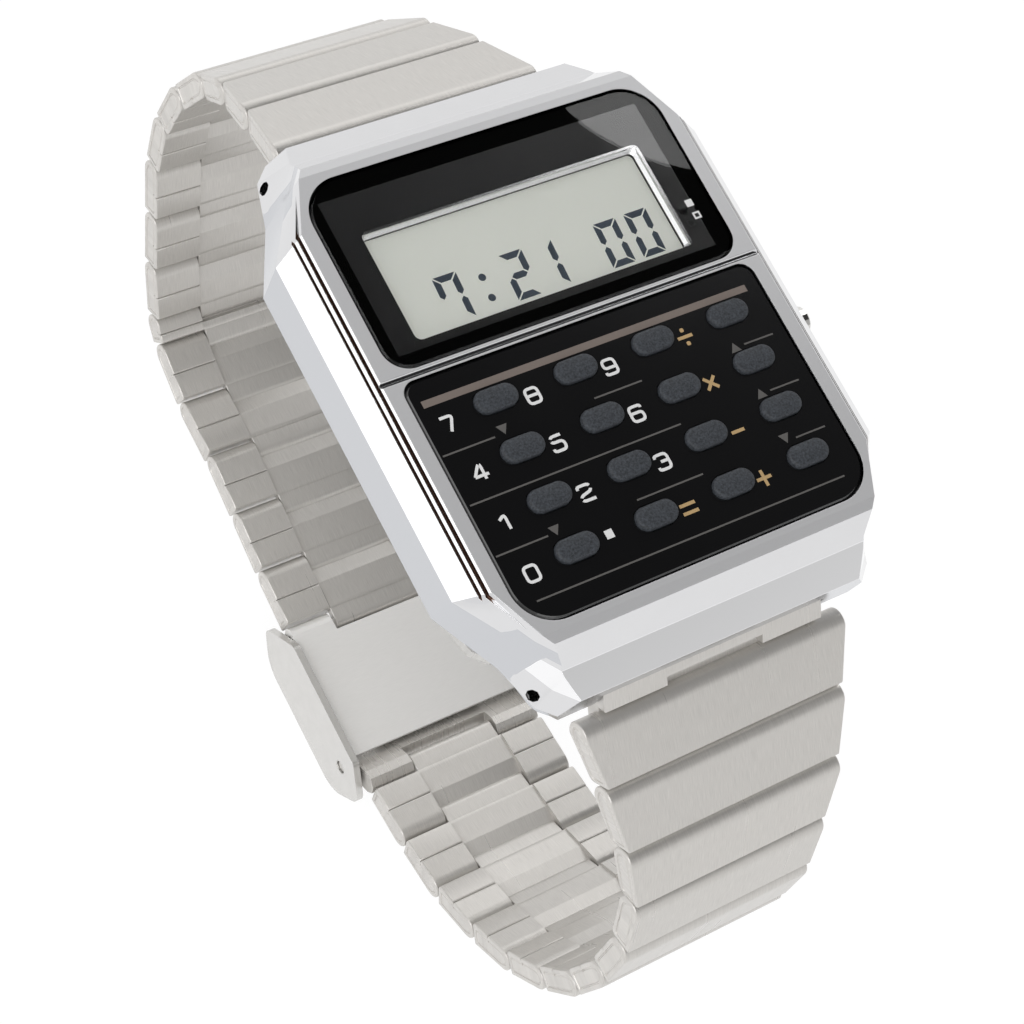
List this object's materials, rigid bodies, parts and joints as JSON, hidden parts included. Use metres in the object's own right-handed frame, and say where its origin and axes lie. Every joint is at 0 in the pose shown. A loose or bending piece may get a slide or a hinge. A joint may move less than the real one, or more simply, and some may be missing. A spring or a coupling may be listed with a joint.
{
  "type": "calculator wristwatch",
  "caption": "Chrome calculator wristwatch with a digital display, rubber keys and a folded-link steel bracelet closed by a fold-over clasp.",
  "frame": {"origin": "centre of the flat outer face of the case back", "axes": "+X to 3 o'clock, +Y to 12 o'clock, +Z out of the dial"},
  "size_m": [0.0356, 0.0763, 0.0596],
  "materials": {
    "case_chrome": "polished",
    "bracelet_steel": "brushed",
    "back_steel": "brushed",
    "cell_steel": "satin",
    "crystal_glass": "clear",
    "display_glass": "satin",
    "black_panel": "gloss",
    "key_rubber": "matte",
    "black_moulding": "matte",
    "board_green": "satin"
  },
  "bodies": {
    "case": {"case_middle": "case_chrome", "spring_bars": "bracelet_steel", "display_crystal": "crystal_glass", "display_module": "display_glass", "keypad_panel": "black_panel", "key_membrane": "key_rubber", "module_frame": "black_moulding", "circuit_board": "board_green", "battery": "cell_steel", "case_back": "back_steel", "back_screws": "back_steel"},
    "key_7": {"key_7": "key_rubber"},
    "key_8": {"key_8": "key_rubber"},
    "key_9": {"key_9": "key_rubber"},
    "key_divide": {"key_divide": "key_rubber"},
    "key_4": {"key_4": "key_rubber"},
    "key_5": {"key_5": "key_rubber"},
    "key_6": {"key_6": "key_rubber"},
    "key_times": {"key_times": "key_rubber"},
    "key_1": {"key_1": "key_rubber"},
    "key_2": {"key_2": "key_rubber"},
    "key_3": {"key_3": "key_rubber"},
    "key_minus": {"key_minus": "key_rubber"},
    "key_0": {"key_0": "key_rubber"},
    "key_point": {"key_point": "key_rubber"},
    "key_equals": {"key_equals": "key_rubber"},
    "key_plus": {"key_plus": "key_rubber"},
    "mode_button": {"mode_button": "bracelet_steel"},
    "adjust_button": {"adjust_button": "bracelet_steel"},
    "link_12_01": {"link_12_01": "bracelet_steel"},
    "link_12_02": {"link_12_02": "bracelet_steel"},
    "link_12_03": {"link_12_03": "bracelet_steel"},
    "link_12_04": {"link_12_04": "bracelet_steel"},
    "link_12_05": {"link_12_05": "bracelet_steel"},
    "link_12_06": {"link_12_06": "bracelet_steel"},
    "link_12_07": {"link_12_07": "bracelet_steel"},
    "link_12_08": {"link_12_08": "bracelet_steel"},
    "link_12_09": {"link_12_09": "bracelet_steel"},
    "link_12_10": {"link_12_10": "bracelet_steel"},
    "link_12_11": {"link_12_11": "bracelet_steel"},
    "link_12_12": {"link_12_12": "bracelet_steel"},
    "link_12_13": {"link_12_13": "bracelet_steel"},
    "link_12_14": {"link_12_14": "bracelet_steel"},
    "link_12_15": {"link_12_15": "bracelet_steel"},
    "link_6_01": {"link_6_01": "bracelet_steel"},
    "link_6_02": {"link_6_02": "bracelet_steel"},
    "link_6_03": {"link_6_03": "bracelet_steel"},
    "link_6_04": {"link_6_04": "bracelet_steel"},
    "link_6_05": {"link_6_05": "bracelet_steel"},
    "link_6_06": {"link_6_06": "bracelet_steel"},
    "link_6_07": {"link_6_07": "bracelet_steel"},
    "link_6_08": {"link_6_08": "bracelet_steel"},
    "link_6_09": {"link_6_09": "bracelet_steel"},
    "link_6_10": {"link_6_10": "bracelet_steel"},
    "link_6_11": {"link_6_11": "bracelet_steel"},
    "link_6_12": {"link_6_12": "bracelet_steel"},
    "clasp_end_link": {"clasp_end_link": "bracelet_steel"},
    "clasp_cover": {"clasp_cover": "bracelet_steel"},
    "clasp_middle_blade": {"clasp_middle_blade": "bracelet_steel"},
    "clasp_inner_blade": {"clasp_inner_blade": "bracelet_steel"}
  },
  "joints": [
    {"name": "press_key_7", "type": "slide", "parent": "case", "child": "key_7", "axis": [0, 0, -1], "range_m": [0, 0.0004], "stiffness_N_per_m": 600},
    {"name": "press_key_8", "type": "slide", "parent": "case", "child": "key_8", "axis": [0, 0, -1], "range_m": [0, 0.0004], "stiffness_N_per_m": 600},
    {"name": "press_key_9", "type": "slide", "parent": "case", "child": "key_9", "axis": [0, 0, -1], "range_m": [0, 0.0004], "stiffness_N_per_m": 600},
    {"name": "press_key_divide", "type": "slide", "parent": "case", "child": "key_divide", "axis": [0, 0, -1], "range_m": [0, 0.0004], "stiffness_N_per_m": 600},
    {"name": "press_key_4", "type": "slide", "parent": "case", "child": "key_4", "axis": [0, 0, -1], "range_m": [0, 0.0004], "stiffness_N_per_m": 600},
    {"name": "press_key_5", "type": "slide", "parent": "case", "child": "key_5", "axis": [0, 0, -1], "range_m": [0, 0.0004], "stiffness_N_per_m": 600},
    {"name": "press_key_6", "type": "slide", "parent": "case", "child": "key_6", "axis": [0, 0, -1], "range_m": [0, 0.0004], "stiffness_N_per_m": 600},
    {"name": "press_key_times", "type": "slide", "parent": "case", "child": "key_times", "axis": [0, 0, -1], "range_m": [0, 0.0004], "stiffness_N_per_m": 600},
    {"name": "press_key_1", "type": "slide", "parent": "case", "child": "key_1", "axis": [0, 0, -1], "range_m": [0, 0.0004], "stiffness_N_per_m": 600},
    {"name": "press_key_2", "type": "slide", "parent": "case", "child": "key_2", "axis": [0, 0, -1], "range_m": [0, 0.0004], "stiffness_N_per_m": 600},
    {"name": "press_key_3", "type": "slide", "parent": "case", "child": "key_3", "axis": [0, 0, -1], "range_m": [0, 0.0004], "stiffness_N_per_m": 600},
    {"name": "press_key_minus", "type": "slide", "parent": "case", "child": "key_minus", "axis": [0, 0, -1], "range_m": [0, 0.0004], "stiffness_N_per_m": 600},
    {"name": "press_key_0", "type": "slide", "parent": "case", "child": "key_0", "axis": [0, 0, -1], "range_m": [0, 0.0004], "stiffness_N_per_m": 600},
    {"name": "press_key_point", "type": "slide", "parent": "case", "child": "key_point", "axis": [0, 0, -1], "range_m": [0, 0.0004], "stiffness_N_per_m": 600},
    {"name": "press_key_equals", "type": "slide", "parent": "case", "child": "key_equals", "axis": [0, 0, -1], "range_m": [0, 0.0004], "stiffness_N_per_m": 600},
    {"name": "press_key_plus", "type": "slide", "parent": "case", "child": "key_plus", "axis": [0, 0, -1], "range_m": [0, 0.0004], "stiffness_N_per_m": 600},
    {"name": "press_mode_button", "type": "slide", "parent": "case", "child": "mode_button", "axis": [-1, 0, 0], "range_m": [0, 0.0005], "stiffness_N_per_m": 1000},
    {"name": "press_adjust_button", "type": "slide", "parent": "case", "child": "adjust_button", "axis": [-1, 0, 0], "range_m": [0, 0.0005], "stiffness_N_per_m": 1000},
    {"name": "bend_12_01", "type": "hinge", "parent": "case", "child": "link_12_01", "pos_m": [0, 0.0198, 0.0033], "axis": [-1, 0, 0], "range_deg": [0, 3]},
    {"name": "bend_12_02", "type": "hinge", "parent": "link_12_01", "child": "link_12_02", "pos_m": [0, 0.0285, -0.0026], "axis": [1, 0, 0], "range_deg": [0, 4.03]},
    {"name": "bend_12_03", "type": "hinge", "parent": "link_12_02", "child": "link_12_03", "pos_m": [0, 0.03266, -0.00605], "axis": [1, 0, 0], "range_deg": [0, 4.03]},
    {"name": "bend_12_04", "type": "hinge", "parent": "link_12_03", "child": "link_12_04", "pos_m": [0, 0.03581, -0.01043], "axis": [1, 0, 0], "range_deg": [0, 4.03]},
    {"name": "bend_12_05", "type": "hinge", "parent": "link_12_04", "child": "link_12_05", "pos_m": [0, 0.03776, -0.01547], "axis": [1, 0, 0], "range_deg": [0, 4.03]},
    {"name": "bend_12_06", "type": "hinge", "parent": "link_12_05", "child": "link_12_06", "pos_m": [0, 0.03839, -0.02083], "axis": [1, 0, 0], "range_deg": [0, 4.03]},
    {"name": "bend_12_07", "type": "hinge", "parent": "link_12_06", "child": "link_12_07", "pos_m": [0, 0.03766, -0.02618], "axis": [-1, 0, 0], "range_deg": [0, 1.91]},
    {"name": "bend_12_08", "type": "hinge", "parent": "link_12_07", "child": "link_12_08", "pos_m": [0, 0.03561, -0.03118], "axis": [-1, 0, 0], "range_deg": [0, 1.91]},
    {"name": "bend_12_09", "type": "hinge", "parent": "link_12_08", "child": "link_12_09", "pos_m": [0, 0.03359, -0.03619], "axis": [-1, 0, 0], "range_deg": [0, 1.91]},
    {"name": "bend_12_10", "type": "hinge", "parent": "link_12_09", "child": "link_12_10", "pos_m": [0, 0.03096, -0.0409], "axis": [-1, 0, 0], "range_deg": [0, 1.91]},
    {"name": "bend_12_11", "type": "hinge", "parent": "link_12_10", "child": "link_12_11", "pos_m": [0, 0.0287, -0.04239], "axis": [-1, 0, 0], "range_deg": [0, 1.91]},
    {"name": "bend_12_12", "type": "hinge", "parent": "link_12_11", "child": "link_12_12", "pos_m": [0, 0.02346, -0.04369], "axis": [-1, 0, 0], "range_deg": [0, 1.91]},
    {"name": "bend_12_13", "type": "hinge", "parent": "link_12_12", "child": "link_12_13", "pos_m": [0, 0.01806, -0.04369], "axis": [-1, 0, 0], "range_deg": [0, 1.91]},
    {"name": "bend_12_14", "type": "hinge", "parent": "link_12_13", "child": "link_12_14", "pos_m": [0, 0.01271, -0.04442], "axis": [-1, 0, 0], "range_deg": [0, 1.91]},
    {"name": "bend_12_15", "type": "hinge", "parent": "link_12_14", "child": "link_12_15", "pos_m": [0, 0.00737, -0.04519], "axis": [-1, 0, 0], "range_deg": [0, 1.91]},
    {"name": "bend_6_01", "type": "hinge", "parent": "case", "child": "link_6_01", "pos_m": [0, -0.0198, 0.0033], "axis": [1, 0, 0], "range_deg": [0, 3]},
    {"name": "bend_6_02", "type": "hinge", "parent": "link_6_01", "child": "link_6_02", "pos_m": [0, -0.02709, -0.00287], "axis": [-1, 0, 0], "range_deg": [0, 4.76]},
    {"name": "bend_6_03", "type": "hinge", "parent": "link_6_02", "child": "link_6_03", "pos_m": [0, -0.03092, -0.00654], "axis": [-1, 0, 0], "range_deg": [0, 4.76]},
    {"name": "bend_6_04", "type": "hinge", "parent": "link_6_03", "child": "link_6_04", "pos_m": [0, -0.03359, -0.01111], "axis": [-1, 0, 0], "range_deg": [0, 4.76]},
    {"name": "bend_6_05", "type": "hinge", "parent": "link_6_04", "child": "link_6_05", "pos_m": [0, -0.03542, -0.01609], "axis": [-1, 0, 0], "range_deg": [0, 4.76]},
    {"name": "bend_6_06", "type": "hinge", "parent": "link_6_05", "child": "link_6_06", "pos_m": [0, -0.03585, -0.02137], "axis": [1, 0, 0], "range_deg": [0, 1.4]},
    {"name": "bend_6_07", "type": "hinge", "parent": "link_6_06", "child": "link_6_07", "pos_m": [0, -0.03524, -0.02663], "axis": [1, 0, 0], "range_deg": [0, 1.4]},
    {"name": "bend_6_08", "type": "hinge", "parent": "link_6_07", "child": "link_6_08", "pos_m": [0, -0.03335, -0.03159], "axis": [1, 0, 0], "range_deg": [0, 1.4]},
    {"name": "bend_6_09", "type": "hinge", "parent": "link_6_08", "child": "link_6_09", "pos_m": [0, -0.03053, -0.03607], "axis": [1, 0, 0], "range_deg": [0, 1.4]},
    {"name": "bend_6_10", "type": "hinge", "parent": "link_6_09", "child": "link_6_10", "pos_m": [0, -0.02669, -0.03972], "axis": [1, 0, 0], "range_deg": [0, 1.4]},
    {"name": "bend_6_11", "type": "hinge", "parent": "link_6_10", "child": "link_6_11", "pos_m": [0, -0.0222, -0.04254], "axis": [1, 0, 0], "range_deg": [0, 1.4]},
    {"name": "bend_6_12", "type": "hinge", "parent": "link_6_11", "child": "link_6_12", "pos_m": [0, -0.01709, -0.04395], "axis": [1, 0, 0], "range_deg": [0, 1.4]},
    {"name": "bend_6_end", "type": "hinge", "parent": "link_6_12", "child": "clasp_end_link", "pos_m": [0, -0.01186, -0.0448], "axis": [1, 0, 0], "range_deg": [0, 1.4]},
    {"name": "tilt_cover", "type": "hinge", "parent": "clasp_end_link", "child": "clasp_cover", "pos_m": [0, -0.0095, -0.0466], "axis": [1, 0, 0], "range_deg": [0, 4.8]},
    {"name": "fold_clasp", "type": "hinge", "parent": "clasp_cover", "child": "clasp_middle_blade", "pos_m": [0, -0.0002, -0.049], "axis": [-1, 0, 0], "range_deg": [0, 135.8]},
    {"name": "tilt_inner_blade", "type": "hinge", "parent": "clasp_middle_blade", "child": "clasp_inner_blade", "pos_m": [0, -0.0076, -0.046], "axis": [1, 0, 0], "range_deg": [0, 135.85]}
  ],
  "couplings": [
    {"joint": "bend_12_01", "follows": "fold_clasp", "ratio": 0.022091},
    {"joint": "bend_12_02", "follows": "fold_clasp", "ratio": 0.029701},
    {"joint": "bend_12_03", "follows": "fold_clasp", "ratio": 0.029701},
    {"joint": "bend_12_04", "follows": "fold_clasp", "ratio": 0.029701},
    {"joint": "bend_12_05", "follows": "fold_clasp", "ratio": 0.029701},
    {"joint": "bend_12_06", "follows": "fold_clasp", "ratio": 0.029701},
    {"joint": "bend_12_07", "follows": "fold_clasp", "ratio": 0.014046},
    {"joint": "bend_12_08", "follows": "fold_clasp", "ratio": 0.014046},
    {"joint": "bend_12_09", "follows": "fold_clasp", "ratio": 0.014046},
    {"joint": "bend_12_10", "follows": "fold_clasp", "ratio": 0.014046},
    {"joint": "bend_12_11", "follows": "fold_clasp", "ratio": 0.014046},
    {"joint": "bend_12_12", "follows": "fold_clasp", "ratio": 0.014046},
    {"joint": "bend_12_13", "follows": "fold_clasp", "ratio": 0.014046},
    {"joint": "bend_12_14", "follows": "fold_clasp", "ratio": 0.014046},
    {"joint": "bend_12_15", "follows": "fold_clasp", "ratio": 0.014046},
    {"joint": "bend_6_01", "follows": "fold_clasp", "ratio": 0.022091},
    {"joint": "bend_6_02", "follows": "fold_clasp", "ratio": 0.035025},
    {"joint": "bend_6_03", "follows": "fold_clasp", "ratio": 0.035025},
    {"joint": "bend_6_04", "follows": "fold_clasp", "ratio": 0.035025},
    {"joint": "bend_6_05", "follows": "fold_clasp", "ratio": 0.035025},
    {"joint": "bend_6_06", "follows": "fold_clasp", "ratio": 0.010332},
    {"joint": "bend_6_07", "follows": "fold_clasp", "ratio": 0.010332},
    {"joint": "bend_6_08", "follows": "fold_clasp", "ratio": 0.010332},
    {"joint": "bend_6_09", "follows": "fold_clasp", "ratio": 0.010332},
    {"joint": "bend_6_10", "follows": "fold_clasp", "ratio": 0.010332},
    {"joint": "bend_6_11", "follows": "fold_clasp", "ratio": 0.010332},
    {"joint": "bend_6_12", "follows": "fold_clasp", "ratio": 0.010332},
    {"joint": "bend_6_end", "follows": "fold_clasp", "ratio": 0.010332},
    {"joint": "tilt_cover", "follows": "fold_clasp", "ratio": 0.035352},
    {"joint": "tilt_inner_blade", "follows": "fold_clasp", "ratio": 1}
  ]
}
